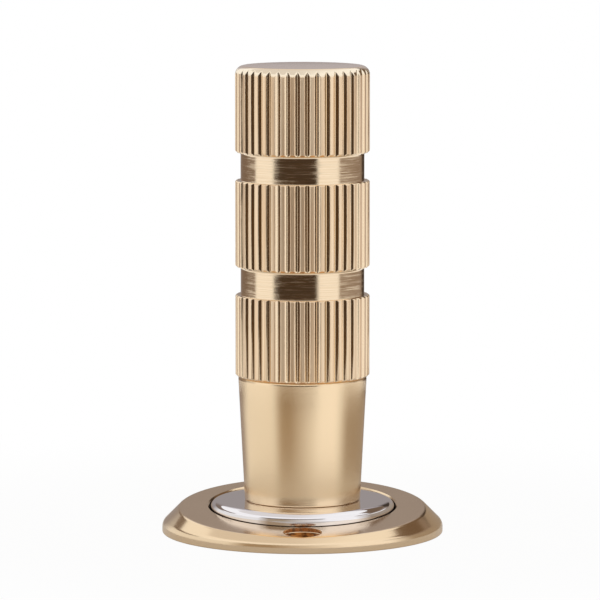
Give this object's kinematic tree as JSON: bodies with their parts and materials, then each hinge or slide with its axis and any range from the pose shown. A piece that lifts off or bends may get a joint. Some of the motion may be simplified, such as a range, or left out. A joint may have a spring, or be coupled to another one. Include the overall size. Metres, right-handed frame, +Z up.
{
  "type": "concealed magnetic door stop",
  "caption": "Knurled brass barrel for a door's bottom edge, with a tapered magnetic nose on a sprung stem, standing on a slanted brass floor plate with a steel strike disc.",
  "frame": {"origin": "on the floor, at the middle of the floor plate", "axes": "+Z up along the barrel, -Y towards the low side of the slanted plate"},
  "size_m": [0.042, 0.042, 0.0698],
  "materials": {
    "turned_brass": "bright turned, knurled",
    "satin_brass": "satin turned",
    "plate_brass": "satin with bright bevels",
    "polished_steel": "polished",
    "machined_steel": "turned",
    "spring_steel": "drawn wire",
    "plated_magnet": "nickel plated",
    "bush_plastic": "machined acetal"
  },
  "bodies": {
    "floor_unit_and_nose": {"floor_plate": "plate_brass", "strike_disc": "polished_steel", "disc_screw": "machined_steel", "nose": "satin_brass", "pole_cup": "machined_steel", "magnet": "plated_magnet", "stem": "machined_steel", "stop_washer": "machined_steel", "stop_screw": "machined_steel", "return_spring": "spring_steel"},
    "door_barrel": {"barrel": "turned_brass", "guide_bush": "bush_plastic"}
  },
  "joints": [
    {"name": "barrel_lift", "type": "slide", "parent": "floor_unit_and_nose", "child": "door_barrel", "axis": [0, 0, 1], "range_m": [0, 0.012], "stiffness_N_per_m": 150, "springref_m": -0.01, "deforming": ["return_spring"]}
  ]
}
